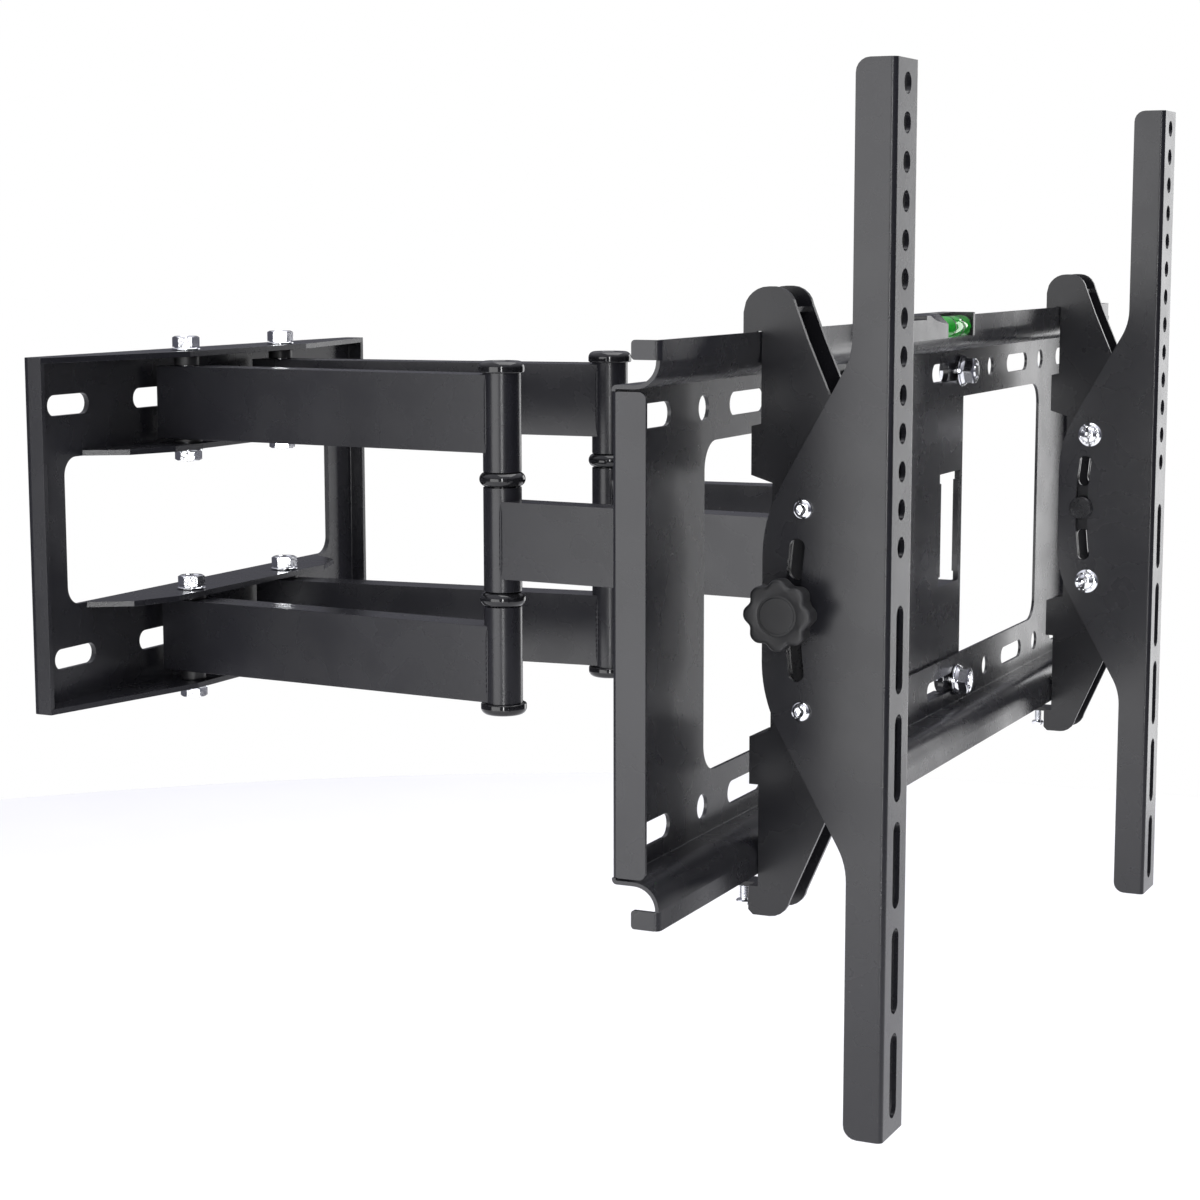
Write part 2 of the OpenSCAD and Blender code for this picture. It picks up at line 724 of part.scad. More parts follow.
module hook_bracket(side) color(steel_black) at_rail(side) {
  web_w = 2 * cheek_out - cheek_t;
  pad_h = pad_high - pad_low;
  tongue_r = 5;
  tongue_z = -foot_top - cheek_t;
  for (x = [-cheek_out, cheek_out - cheek_t]) run_x(x, cheek_t) cheek_outline();
  // webs that join the cheeks behind the rail
  for (z = [-pad_high, pad_low]) translate([-web_w / 2, pad_u - cheek_t, z]) cube([web_w, cheek_t, pad_h]);
  translate([-web_w / 2, 45, lip_top + 8]) cube([web_w, 14, cheek_t]);
  // threaded tongue under the lower lip
  difference() {
    union() {
      translate([-web_w / 2, foot_u - 10, tongue_z]) cube([web_w, 9.5, cheek_t]);
      translate([-tongue_r, foot_u - 2, tongue_z]) cube([2 * tongue_r, lock_u - foot_u + 2, cheek_t]);
      translate([0, lock_u, tongue_z]) cylinder(r = tongue_r, h = cheek_t, $fn = 48);
    }
    translate([0, lock_u, tongue_z - eps]) cylinder(d = lock_d + fit, h = cheek_t + 2 * eps, $fn = 48);
  }
}

// ---------- rails ----------

// Half outline of a rail flange from its middle to its top end.
belly_flat = 22;
belly_r = 60;
belly_slope = 29.5;
belly_blend = 30;
round_drop = belly_r * (1 - cos(belly_slope));
blend_drop = belly_blend * (1 - cos(belly_slope));
slope_drop = belly_d - rail_flange_d - round_drop - blend_drop;
slope_end_z = belly_flat + belly_r * sin(belly_slope) + slope_drop / tan(belly_slope);
blend_z = slope_end_z + belly_blend * sin(belly_slope);

function belly_half() = concat(
  arc(belly_d - belly_r, belly_flat, belly_r, 0, belly_slope, 10),
  arc(rail_flange_d + belly_blend, blend_z, belly_blend, 180 + belly_slope, 180, 6),
  arc(rail_flange_d - 6, rail_l / 2 - 6, 6, 0, 90, 5),
  [[0, rail_l / 2]]
);

function flip(points) = [for (i = [len(points) - 1 : -1 : 0]) [points[i][0], -points[i][1]]];

module rail_side_outline() {
  difference() {
    polygon(concat(flip(belly_half()), belly_half()));
    for (s = [-1, 1]) translate([screw_u, s * tilt_screw_z]) circle(d = screw_d + fit, $fn = 48);
    translate([-tilt_axis_out, 0]) arc_slot(stud_r, screw_d + 0.8, -tilt_max - 0.9, tilt_max + 0.9);
  }
}

module rail_holes() {
  for (i = [0 : hole_count - 1]) translate([0, hole_first - i * hole_pitch]) circle(d = hole_d, $fn = 48);
  for (i = [0 : slot_count - 1]) translate([0, slot_last + i * slot_pitch]) rotate(90) slot(slot_l, hole_d);
}

module tv_rail(side) color(steel_grey) at_rail(side) {
  edge_r = 2.5;
  inner_r = 0.5;
  half_w = rail_w / 2;
  difference() {
    // rounded channel section, cut to the side outline
    intersection() {
      translate([0, 0, -rail_l / 2]) linear_extrude(rail_l) difference() {
        union() {
          translate([-half_w, edge_r]) square([rail_w, belly_d]);
          translate([-half_w + edge_r, 0]) square([rail_w - 2 * edge_r, belly_d]);
          for (x = [-1, 1]) translate([x * (half_w - edge_r), edge_r]) circle(edge_r, $fn = 48);
        }
        translate([-half_w + rail_t, rail_t + inner_r]) square([rail_w - 2 * rail_t, belly_d + edge_r]);
        translate([-half_w + rail_t + inner_r, rail_t]) square([rail_w - 2 * (rail_t + inner_r), belly_d + edge_r]);
      }
      run_x(-half_w, rail_w) rail_side_outline();
    }
    sheet_xz(rail_t + eps, rail_t + 2 * eps) rail_holes();
  }
}

// ---------- tilt hardware ----------

module at_tilt_screws(side) at_rail(side)
  for (s = [-1, 1]) translate([0, screw_u, s * tilt_screw_z]) rotate([0, 90, 0]) children();

// Button heads on the outside of each rail.
module tilt_screws(side) color(zinc) at_tilt_screws(side) {
  head_r = 4.3;
  dome_r = 2.4;
  rim = 0.3;
  socket_d = 3.6;
  socket_floor = 1.2;
  disc(-rail_w / 2 - 7, rail_w + 7, screw_d);
  difference() {
    translate([0, 0, rail_w / 2]) rotate_extrude($fn = 64)
      polygon(concat([[0, 0], [head_r, 0]], arc(head_r - dome_r, rim, dome_r, 0, 75, 6), [[0, rim + dome_r]]));
    translate([0, 0, rail_w / 2 + socket_floor]) cylinder(d = socket_d, h = 2 * dome_r, $fn = 6);
  }
}

module tilt_nuts(side) color(zinc) at_tilt_screws(side) mirror([0, 0, 1])
  translate([0, 0, rail_w / 2]) difference() {
    union() {
      cylinder(d = 13.4, h = 1.6, $fn = 64);
      cylinder(d = 10 / cos(30), h = 5.4, $fn = 6);
    }
    translate([0, 0, -eps]) cylinder(d = screw_d, h = 6, $fn = 48);
  }

module at_stud(side) at_rail(side) translate([0, stud_u, 0]) rotate([0, 90, 0]) children();

knob_standoff = rail_w / 2 + gap + 1.6 + gap;
knob_t = 17;
knob_hub_h = 8;
knob_bore_h = 9.6;

// A flat-headed stud, held by the cheeks, that the knob draws tight.
module knob_stud(side) color(nylon_black) at_stud(side) {
  disc(-rail_w / 2 - gap - 2.4, 2.4, screw_d + 7);
  disc(-rail_w / 2 - gap, rail_w / 2 + gap + knob_standoff + 9, screw_d);
}

module knob_washer(side) color(nylon_black) at_stud(side)
  disc(rail_w / 2 + gap, 1.6, screw_d + 10, screw_d);

module knob(side) color(nylon_black) at_stud(side) translate([0, 0, knob_standoff]) {
  lobes = 8;
  difference() {
    union() {
      cylinder(d = 20, h = knob_t, $fn = 64);
      translate([0, 0, knob_hub_h]) linear_extrude(knob_t - knob_hub_h) {
        circle(12.9, $fn = 96);
        for (i = [0 : lobes - 1]) rotate(i * 360 / lobes) translate([10.4, 0]) circle(4.6, $fn = 48);
      }
    }
    translate([0, 0, -eps]) cylinder(d = screw_d + fit, h = knob_bore_h, $fn = 48);
    // shallow ring in the face
    translate([0, 0, knob_t - 0.6]) difference() {
      cylinder(r = 8.6, h = 1, $fn = 64);
      translate([0, 0, -eps]) cylinder(r = 7.4, h = 1.2, $fn = 64);
    }
  }
}

// ---------- lock screws ----------

// Hangs from its threaded tab, with its tip behind the lower lip.
module lock_screw(side) color(zinc) at_rail(side) translate([0, lock_u, 0]) {
  tip_z = -lip_top + 13;
  head_low = -lip_top - 16.5;
  lock_head_h = 2.2;
  disc(head_low, lock_head_h, lock_d + 3);
  disc(head_low + lock_head_h, tip_z - head_low - lock_head_h, lock_d);
}

wall_plate();
wall_pivot_bolts(left);  // wall_pivot_bolts_left
wall_pivot_bolts(right);  // wall_pivot_bolts_right
wall_pivot_nuts(left);  // wall_pivot_nuts_left
wall_pivot_nuts(right);  // wall_pivot_nuts_right
wall_pivot_washers(left);  // wall_pivot_washers_left
wall_pivot_washers(right);  // wall_pivot_washers_right
wall_pivot_bushes(left);  // wall_pivot_bushes_left
wall_pivot_bushes(right);  // wall_pivot_bushes_right
wall_arm(left, 1);  // wall_arm_upper_left
wall_arm(right, 1);  // wall_arm_upper_right
wall_arm(left, -1);  // wall_arm_lower_left
wall_arm(right, -1);  // wall_arm_lower_right
knuckle_pin(left);  // knuckle_pin_left
knuckle_pin(right);  // knuckle_pin_right
knuckle_rings(left);  // knuckle_rings_left
knuckle_rings(right);  // knuckle_rings_right
knuckle_caps(left);  // knuckle_caps_left
knuckle_caps(right);  // knuckle_caps_right
front_arm(left);  // front_arm_left
front_arm(right);  // front_arm_right
tv_pivot_bolt(left);  // tv_pivot_bolt_left
tv_pivot_bolt(right);  // tv_pivot_bolt_right
tv_pivot_nut(left);  // tv_pivot_nut_left
tv_pivot_nut(right);  // tv_pivot_nut_right
tv_pivot_bushes(left);  // tv_pivot_bushes_left
tv_pivot_bushes(right);  // tv_pivot_bushes_right
arm_bracket();
bracket_bolts();
bracket_nuts();
bracket_washers();
tv_plate();
level_housing();
level_vial();
hook_bracket(left);  // hook_bracket_left
hook_bracket(right);  // hook_bracket_right
tv_rail(left);  // tv_rail_left
tv_rail(right);  // tv_rail_right
tilt_screws(left);  // tilt_screws_left
tilt_screws(right);  // tilt_screws_right
tilt_nuts(left);  // tilt_nuts_left
tilt_nuts(right);  // tilt_nuts_right
knob_stud(left);  // knob_stud_left
knob_stud(right);  // knob_stud_right
knob_washer(left);  // knob_washer_left
knob_washer(right);  // knob_washer_right
knob(left);  // knob_left
knob(right);  // knob_right
lock_screw(left);  // lock_screw_left
lock_screw(right);  // lock_screw_right
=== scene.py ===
"""Looks of the full motion TV wall mount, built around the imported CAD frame."""
import json
import math

import bmesh
import bpy
from mathutils import Matrix, Vector


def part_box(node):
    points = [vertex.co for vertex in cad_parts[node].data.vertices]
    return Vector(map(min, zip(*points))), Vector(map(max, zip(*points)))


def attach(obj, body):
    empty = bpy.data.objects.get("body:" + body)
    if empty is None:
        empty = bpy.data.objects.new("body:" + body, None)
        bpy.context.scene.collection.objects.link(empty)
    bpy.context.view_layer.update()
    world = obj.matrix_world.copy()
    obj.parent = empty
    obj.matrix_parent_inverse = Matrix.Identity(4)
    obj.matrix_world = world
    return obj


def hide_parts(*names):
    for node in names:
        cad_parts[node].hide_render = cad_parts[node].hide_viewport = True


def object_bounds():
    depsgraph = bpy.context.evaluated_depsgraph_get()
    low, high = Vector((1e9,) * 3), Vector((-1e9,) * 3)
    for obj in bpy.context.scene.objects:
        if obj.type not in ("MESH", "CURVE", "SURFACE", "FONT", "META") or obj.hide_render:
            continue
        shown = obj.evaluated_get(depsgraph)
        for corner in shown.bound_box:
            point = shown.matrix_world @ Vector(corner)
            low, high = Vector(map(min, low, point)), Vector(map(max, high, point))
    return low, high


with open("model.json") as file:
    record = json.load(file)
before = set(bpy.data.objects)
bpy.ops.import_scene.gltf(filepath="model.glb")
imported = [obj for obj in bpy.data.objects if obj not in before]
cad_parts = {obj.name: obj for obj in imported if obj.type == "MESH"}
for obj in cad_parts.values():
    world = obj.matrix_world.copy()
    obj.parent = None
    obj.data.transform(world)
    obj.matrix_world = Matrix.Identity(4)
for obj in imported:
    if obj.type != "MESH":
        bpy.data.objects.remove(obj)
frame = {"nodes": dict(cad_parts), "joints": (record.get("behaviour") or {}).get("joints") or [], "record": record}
CAD_BOX = [list(corner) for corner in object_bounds()]
NODES = frame["nodes"]
JOINTS = {joint["name"]: joint for joint in frame["joints"]}
SIDES = ("left", "right")

MM = 0.001
TURN = 2 * math.pi
HEX_CHAMFER = math.tan(math.radians(30))
SOFT_EDGE = math.radians(32)

# Standard sizes of the fasteners.
BOLT_D = 8 * MM
BOLT_PITCH = 1.25 * MM
THREAD_DEPTH = 0.55 * MM
BOLT_AF = 13 * MM
HEAD_H = 6.5 * MM
WASHER_T = 1.0 * MM
SCREW_D = 6 * MM
PLATE_WASHER_D = BOLT_AF + 4 * MM

# Radius of a chamfered face, as a share of the width across flats.
HEAD_FACE = 0.475
NUT_FACE = 0.47


# ---------- mesh helpers ----------

def ring(radius, height):
    """A round ring of a turned shape."""
    return lambda angle: (radius, height)


def hex_radius(angle, flats):
    sixth = TURN / 6
    return flats / 2 / math.cos(angle % sixth - sixth / 2)


def hex_ring(flats, height):
    """A six-sided ring, corner at angle 0."""
    return lambda angle: (hex_radius(angle, flats), height)


def chamfered_ring(flats, height, way=1):
    """The edge where a 30 degree chamfer meets the flats, as on a real bolt head."""
    start = HEAD_FACE * flats

    def at(angle):
        radius = hex_radius(angle, flats)
        return radius, height - way * max(0, radius - start) * HEX_CHAMFER
    return at


def loft(bm, place, rings, count=72, caps=(True, True)):
    """Skins a stack of rings about the local Z axis of place."""
    loops = []
    for at in rings:
        loop = []
        for step in range(count):
            angle = TURN * step / count
            radius, height = at(angle)
            spot = Vector((radius * math.cos(angle), radius * math.sin(angle), height))
            loop.append(bm.verts.new(place @ spot))
        loops.append(loop)
    for low, high in zip(loops, loops[1:]):
        for step in range(count):
            after = (step + 1) % count
            bm.faces.new((low[step], low[after], high[after], high[step]))
    if caps[0]:
        bm.faces.new(loops[0][::-1])
    if caps[1]:
        bm.faces.new(loops[-1])


def closed_loft(bm, place, rings, count=72):
    """Skins a stack of rings that ends where it starts, such as a washer's section."""
    loft(bm, place, list(rings) + [rings[0]], count, (False, False))


def arc_rings(radius, height, bend, start, end, steps=6):
    """Rings along a rounded edge: the bend's centre is at (radius, height)."""
    turns = [start + (end - start) * step / steps for step in range(steps + 1)]
    return [ring(radius + bend * math.cos(t), height + bend * math.sin(t)) for t in turns]


def thread_rings(diameter, low, high, pitch, depth=THREAD_DEPTH):
    """A helical thread from low to high, with a short taper at its free ends."""
    steps = max(2, math.ceil((high - low) / pitch * 8))

    def at_height(height):
        fade = min(1, (height - low) / pitch + 0.2, (high - height) / pitch + 0.2)

        def at(angle):
            wave = abs(((height / pitch - angle / TURN) % 1) * 2 - 1)
            return diameter / 2 - depth * (wave * fade + 1 - fade), height
        return at
    return [at_height(low + (high - low) * step / steps) for step in range(steps + 1)]


def finish_mesh(name, bm, material, body, cad_nodes):
    """Turns a bmesh into a piece that rides on a body and stands for CAD nodes."""
    bmesh.ops.remove_doubles(bm, verts=bm.verts, dist=1e-6)
    bmesh.ops.recalc_face_normals(bm, faces=bm.faces)
    mesh = bpy.data.meshes.new(name)
    bm.to_mesh(mesh)
    bm.free()
    mesh.polygons.foreach_set("use_smooth", [True] * len(mesh.polygons))
    mesh.set_sharp_from_angle(angle=SOFT_EDGE)
    piece = bpy.data.objects.new(name, mesh)
    bpy.context.scene.collection.objects.link(piece)
    piece.data.materials.append(material)
    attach(piece, body)
    for node in cad_nodes:
        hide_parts(node)
    return piece


def add_bevel(obj, width, segments=2):
    bevel = obj.modifiers.new("bevel", "BEVEL")
    bevel.width = width
    bevel.segments = segments
    bevel.limit_method = "ANGLE"
    bevel.angle_limit = SOFT_EDGE
    bevel.harden_normals = False
    shade = obj.modifiers.new("shade", "WEIGHTED_NORMAL")
    shade.keep_sharp = True
    shade.weight = 80


def upright(x, y, z=0.0):
    return Matrix.Translation((x, y, z))


def flipped(x, y, z=0.0):
    """Local Z points down."""
    return Matrix.Translation((x, y, z)) @ Matrix.Rotation(math.pi, 4, "X")


def facing(spot, direction):
    """Local Z points along a direction."""
    turn = Vector(direction).to_track_quat("Z", "Y").to_matrix().to_4x4()
    return Matrix.Translation(spot) @ turn


def middle(node):
    low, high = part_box(node)
    return (low + high) / 2


# ---------- fasteners ----------

def add_washer(bm, place, low, high, radius, bore):
    edge = 0.25 * (high - low)
    closed_loft(bm, place, [
        ring(bore, low), ring(radius - edge, low), ring(radius, low + edge),
        ring(radius, high - edge), ring(radius - edge, high), ring(bore, high),
    ], 64)


def add_hex_head(bm, place, low, height, flats):
    """A bolt head: washer face below, chamfered corners and a shallow dish on top."""
    high = low + height
    face = HEAD_FACE * flats
    dish_d = 0.35 * MM
    loft(bm, place, [
        ring(face, low), ring(face, low + 0.3 * MM), chamfered_ring(flats, low + 0.35 * MM, -0.4),
        chamfered_ring(flats, high), ring(face, high),
        ring(0.36 * flats, high), ring(0.33 * flats, high - dish_d), ring(0.12 * flats, high - dish_d),
    ])


def add_nut(bm, place, low, high, flats, bore):
    """A hex nut with both faces chamfered and a countersunk bore."""
    sink = 0.6 * MM
    closed_loft(bm, place, [
        ring(bore, low + sink), ring(bore + sink, low), ring(NUT_FACE * flats, low),
        chamfered_ring(flats, low, -1), chamfered_ring(flats, high), ring(NUT_FACE * flats, high),
        ring(bore + sink, high), ring(bore, high - sink),
    ])


def add_thread_end(bm, place, low, high, diameter, pitch=BOLT_PITCH):
    """A threaded stretch of shank whose high end is free and turned down."""
    tip = 0.6 * MM
    rings = thread_rings(diameter, low, high - tip, pitch)
    rings += [ring(diameter / 2 - tip, high - tip), ring(diameter / 2 - 1.6 * tip, high)]
    loft(bm, place, rings, 40)


def add_shank(bm, place, low, high, diameter):
    loft(bm, place, [ring(diameter / 2, low), ring(diameter / 2, high)], 40)


def wall_pivot_hardware(side, steel):
    """One bolt through each pair of lugs, with its nut and two washers."""
    spot = JOINTS["fold_" + side]["pos_m"]
    body = "wall_pivot_" + side
    names = ["wall_pivot_%s_%s" % (kind, side) for kind in ("bolts", "nuts", "washers")]
    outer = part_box(names[2])[1].z
    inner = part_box(names[1])[1].z
    nut_h = abs(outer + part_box(names[1])[0].z)
    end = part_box(names[0])[0].z
    tail = -end - outer - nut_h
    radius = (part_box(names[2])[1].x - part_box(names[2])[0].x) / 2

    bolts = bmesh.new()
    up, down = upright(spot[0], spot[1]), flipped(spot[0], spot[1])
    add_hex_head(bolts, up, outer, HEAD_H, BOLT_AF)
    add_shank(bolts, up, inner, outer, BOLT_D)
    add_thread_end(bolts, down, -inner, -inner + nut_h + tail, BOLT_D)
    add_hex_head(bolts, up, -inner, HEAD_H, BOLT_AF)
    add_shank(bolts, down, inner, outer, BOLT_D)
    add_thread_end(bolts, down, outer, outer + nut_h + tail, BOLT_D)
    finish_mesh("pivot_bolts_" + side, bolts, steel, body, names[:1])

    nuts = bmesh.new()
    add_nut(nuts, up, inner - nut_h, inner, BOLT_AF, BOLT_D / 2)
    add_nut(nuts, down, outer, outer + nut_h, BOLT_AF, BOLT_D / 2)
    finish_mesh("pivot_nuts_" + side, nuts, steel, body, names[1:2])

    washers = bmesh.new()
    for place, low in ((up, outer - WASHER_T), (up, inner), (down, outer - WASHER_T), (down, inner)):
        add_washer(washers, place, low, low + WASHER_T, radius, BOLT_D / 2)
    finish_mesh("pivot_washers_" + side, washers, steel, body, names[2:])


def tv_pivot_hardware(side, steel):
    bolt, nut = "tv_pivot_bolt_" + side, "tv_pivot_nut_" + side
    spot = middle(bolt)
    body = "tv_pivot_left" if side == "left" else "arm_bracket"
    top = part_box(bolt)[1].z - HEAD_H
    nut_low, nut_high = (-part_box(nut)[i].z for i in (1, 0))
    place, under = upright(spot.x, spot.y), flipped(spot.x, spot.y)
    bm = bmesh.new()
    add_hex_head(bm, place, top, HEAD_H, BOLT_AF)
    add_shank(bm, under, -top, nut_low, BOLT_D)
    add_thread_end(bm, under, nut_low, -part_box(bolt)[0].z, BOLT_D)
    finish_mesh("tv_bolt_" + side, bm, steel, body, [bolt])
    bm = bmesh.new()
    add_nut(bm, under, nut_low, nut_high, BOLT_AF, BOLT_D / 2)
    finish_mesh("tv_nut_" + side, bm, steel, body, [nut])


def bracket_places():
    """The four plate bolts: their axes, facing the TV."""
    low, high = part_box("bracket_washers")
    inset = PLATE_WASHER_D / 2
    for x in (low.x + inset, high.x - inset):
        for z in (low.z + inset, high.z - inset):
            yield facing((x, high.y, z), (0, -1, 0))


def bracket_hardware(steel):
    washer_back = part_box("bracket_washers")[1].y
    bolt_back, bolt_front = (washer_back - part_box("bracket_bolts")[i].y for i in (1, 0))
    nut_front = washer_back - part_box("bracket_nuts")[0].y
    head_h, skirt_r = 5.3 * MM, 8.1 * MM
    bolts, nuts, washers = bmesh.new(), bmesh.new(), bmesh.new()
    for place in bracket_places():
        back = place @ Matrix.Rotation(math.pi, 4, "X")
        add_hex_head(bolts, back, -bolt_back - head_h, head_h, BOLT_AF)
        add_shank(bolts, place, bolt_back + head_h, 0, BOLT_D)
        add_thread_end(bolts, place, 0, bolt_front, BOLT_D)
        add_flange_nut(nuts, place, WASHER_T, nut_front, BOLT_AF, skirt_r)
        add_washer(washers, place, 0, WASHER_T, PLATE_WASHER_D / 2, BOLT_D / 2)
    finish_mesh("plate_bolts", bolts, steel, "arm_bracket", ["bracket_bolts"])
    finish_mesh("plate_nuts", nuts, steel, "arm_bracket", ["bracket_nuts"])
    finish_mesh("plate_washers", washers, steel, "arm_bracket", ["bracket_washers"])


def add_flange_nut(bm, place, low, high, flats, skirt):
    """A nut on a sloped round flange."""
    closed_loft(bm, place, [
        ring(BOLT_D / 2, low), ring(skirt - 0.3 * MM, low), ring(skirt, low + 0.3 * MM),
        ring(skirt, low + 0.8 * MM), ring(0.57 * flats, low + 1.7 * MM), hex_ring(flats, low + 2.2 * MM),
        chamfered_ring(flats, high), ring(NUT_FACE * flats, high),
        ring(BOLT_D / 2 + 0.5 * MM, high), ring(BOLT_D / 2, high - 0.5 * MM),
    ])


def tilt_spots(side):
    """Places of the two tilt screws, facing away from the rail's middle plane."""
    low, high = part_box("tilt_nuts_" + side)
    nut_r = (high.y - low.y) / 2
    way = -1 if side == "left" else 1
    middle_x = middle("tv_rail_" + side).x
    for z in (low.z + nut_r, high.z - nut_r):
        yield facing((middle_x, (low.y + high.y) / 2, z), (way, 0, 0))


def add_button_head(bm, place, low, radius, height, socket):
    """A domed head with a hexagon socket."""
    mouth = 0.62 * socket
    dome = [(radius * math.cos(t), low + 0.5 * MM + (height - 0.5 * MM) * math.sin(t))
            for t in (TURN / 4 * step / 8 for step in range(8))]
    rings = [ring(radius, low)] + [ring(r, h) for r, h in dome if r > mouth]
    top = rings[-1](0)[1]
    rings += [
        ring(mouth, top + 0.02 * MM), hex_ring(socket, top - 0.25 * MM),
        hex_ring(socket, low + 0.8 * MM), ring(0.3 * MM, low + 0.5 * MM),
    ]
    loft(bm, place, rings)


def add_cap_nut(bm, place, low, high, flats, flange):
    """A domed nut on a flange."""
    waist = low + 0.55 * (high - low)
    dome = [(0.46 * flats * math.cos(t), waist + (high - waist) * math.sin(t))
            for t in (TURN / 4 * step / 9 for step in range(9))]
    loft(bm, place, [
        ring(flange - 0.2 * MM, low), ring(flange, low + 0.25 * MM), ring(flange, low + 0.9 * MM),
        ring(flange - 0.7 * MM, low + 1.4 * MM), ring(0.56 * flats, low + 1.7 * MM),
        hex_ring(flats, low + 1.8 * MM), chamfered_ring(flats, waist + 0.2 * MM),
    ] + [ring(r, h) for r, h in dome])


def tilt_hardware(side, steel):
    body = "tv_rail_" + side
    rail_low, rail_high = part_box("tv_rail_" + side)
    half_w = (rail_high.x - rail_low.x) / 2
    nut_reach = half_w + (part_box("tilt_nuts_" + side)[1].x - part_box("tilt_nuts_" + side)[0].x)
    head_r, head_h, socket = 4.3 * MM, 2.7 * MM, 3.5 * MM
    cap_af, flange_r = 10 * MM, 6.7 * MM
    screws, nuts = bmesh.new(), bmesh.new()
    for place in tilt_spots(side):
        inward = place @ Matrix.Rotation(math.pi, 4, "X")
        add_button_head(screws, place, half_w, head_r, head_h, socket)
        add_thread_end(screws, inward, -half_w, half_w + 2 * MM, SCREW_D, MM)
        add_cap_nut(nuts, inward, half_w, nut_reach, cap_af, flange_r)
    finish_mesh("tilt_bolts_" + side, screws, steel, body, ["tilt_screws_" + side])
    finish_mesh("tilt_caps_" + side, nuts, steel, body, ["tilt_nuts_" + side])


def lock_hardware(side, steel):
    """A thin screw that hangs from its threaded tongue."""
    node = "lock_screw_" + side
    low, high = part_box(node)
    spot = middle(node)
    radius = (high.x - low.x) / 2
    head = low.z + 2.2 * MM
    place = upright(spot.x, spot.y)
    bm = bmesh.new()
    loft(bm, place, [
        ring(radius - 0.7 * MM, low.z), ring(radius - 0.2 * MM, low.z + 0.2 * MM),
        ring(radius, low.z + 0.7 * MM), ring(radius, head - 0.6 * MM),
        ring(radius - 0.4 * MM, head - 0.1 * MM), ring(2 * MM, head),
    ], 48)
    add_thread_end(bm, place, head, high.z, 4 * MM, 0.7 * MM)
    finish_mesh("lock_rod_" + side, bm, steel, node, [node])


# ---------- knuckles ----------

def knuckle_hardware(side, nylon):
    """Rounded rings between the barrels, and domed end caps."""
    spot = JOINTS["knuckle_" + side]["pos_m"]
    body = "wall_arm_" + side
    rings_node, caps_node = "knuckle_rings_" + side, "knuckle_caps_" + side
    radius = (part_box(rings_node)[1].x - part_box(rings_node)[0].x) / 2
    sleeve = 12 * MM
    ring_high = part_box(rings_node)[1].z - sleeve
    ring_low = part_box("front_arm_" + side)[1].z + 0.3 * MM
    bulge = (ring_high - ring_low) / 2
    bore, sleeve_r = 6.1 * MM, 7.9 * MM
    bm = bmesh.new()
    for place in (upright(spot[0], spot[1]), flipped(spot[0], spot[1])):
        closed_loft(bm, place, [
            ring(bore, ring_low - sleeve), ring(sleeve_r, ring_low - sleeve), ring(sleeve_r, ring_low),
            *arc_rings(radius - bulge, ring_low + bulge, bulge, -TURN / 4, TURN / 4, 14),
            ring(sleeve_r, ring_high), ring(sleeve_r, ring_high + sleeve), ring(bore, ring_high + sleeve),
        ], 96)
    finish_mesh("rings_" + side, bm, nylon, body, [rings_node])

    cap_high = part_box(caps_node)[1].z
    cap_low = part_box("wall_arm_upper_" + side)[1].z
    dome = 3.4 * MM
    bm = bmesh.new()
    for place in (upright(spot[0], spot[1]), flipped(spot[0], spot[1])):
        loft(bm, place, [
            ring(sleeve_r, cap_low - sleeve), ring(sleeve_r, cap_low), ring(radius - 0.8 * MM, cap_low),
            *arc_rings(radius - 0.8 * MM, cap_low + 0.8 * MM, 0.8 * MM, -TURN / 4, 0, 5),
            *arc_rings(radius - dome, cap_high - dome, dome, 0, TURN / 4, 12),
            ring(radius - 5.2 * MM, cap_high), ring(radius - 5.6 * MM, cap_high - 0.35 * MM),
            ring(0.4 * MM, cap_high - 0.35 * MM),
        ], 96)
    finish_mesh("caps_" + side, bm, nylon, body, [caps_node])


# ---------- knob ----------

def lobed(radius, height, wave):
    """A ring with eight soft lobes."""
    def at(angle):
        swell = 0.5 + 0.5 * math.cos(8 * angle)
        return radius - wave * (1 - swell) ** 1.4, height
    return at


def knob_piece(side, plastic):
    node = "knob_" + side
    low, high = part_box(node)
    way = -1 if side == "left" else 1
    start = high.x if side == "left" else low.x
    spot = middle(node)
    place = facing((start, spot.y, spot.z), (way, 0, 0))
    tall = high.x - low.x
    radius, wave, edge = 15 * MM, 2.0 * MM, 1.6 * MM
    hub_r, hub_h = 10 * MM, 8 * MM
    groove_out, groove_in, groove_d = 8.6 * MM, 7.6 * MM, 0.7 * MM
    rim = [lobed(radius - edge + edge * math.sin(t), tall - edge + edge * math.cos(t), wave)
           for t in (TURN / 4 * (1 - step / 7) for step in range(8))]
    bm = bmesh.new()
    loft(bm, place, [
        ring(3.1 * MM, 9.5 * MM), ring(3.1 * MM, 0.4 * MM), ring(3.5 * MM, 0),
        ring(hub_r - 0.6 * MM, 0), ring(hub_r, 0.5 * MM), ring(hub_r, hub_h - 0.2 * MM),
        lobed(radius - 1.2 * MM, hub_h, wave), lobed(radius - 0.2 * MM, hub_h + 0.5 * MM, wave),
        lobed(radius, hub_h + 1.4 * MM, wave), *rim,
        lobed(radius - 3.5 * MM, tall - 0.05 * MM, 0.4 * wave), ring(10.2 * MM, tall - 0.25 * MM),
        ring(groove_out + 0.3 * MM, tall - 0.3 * MM), ring(groove_out, tall - 0.45 * MM),
        ring(groove_out, tall - groove_d), ring(groove_in, tall - groove_d),
        ring(groove_in, tall - 0.4 * MM), ring(groove_in - 0.3 * MM, tall - 0.2 * MM),
        ring(3 * MM, tall - 0.2 * MM), ring(0.5 * MM, tall - 0.25 * MM),
    ], 192)
    finish_mesh("knob_cap_" + side, bm, plastic, node, [node])


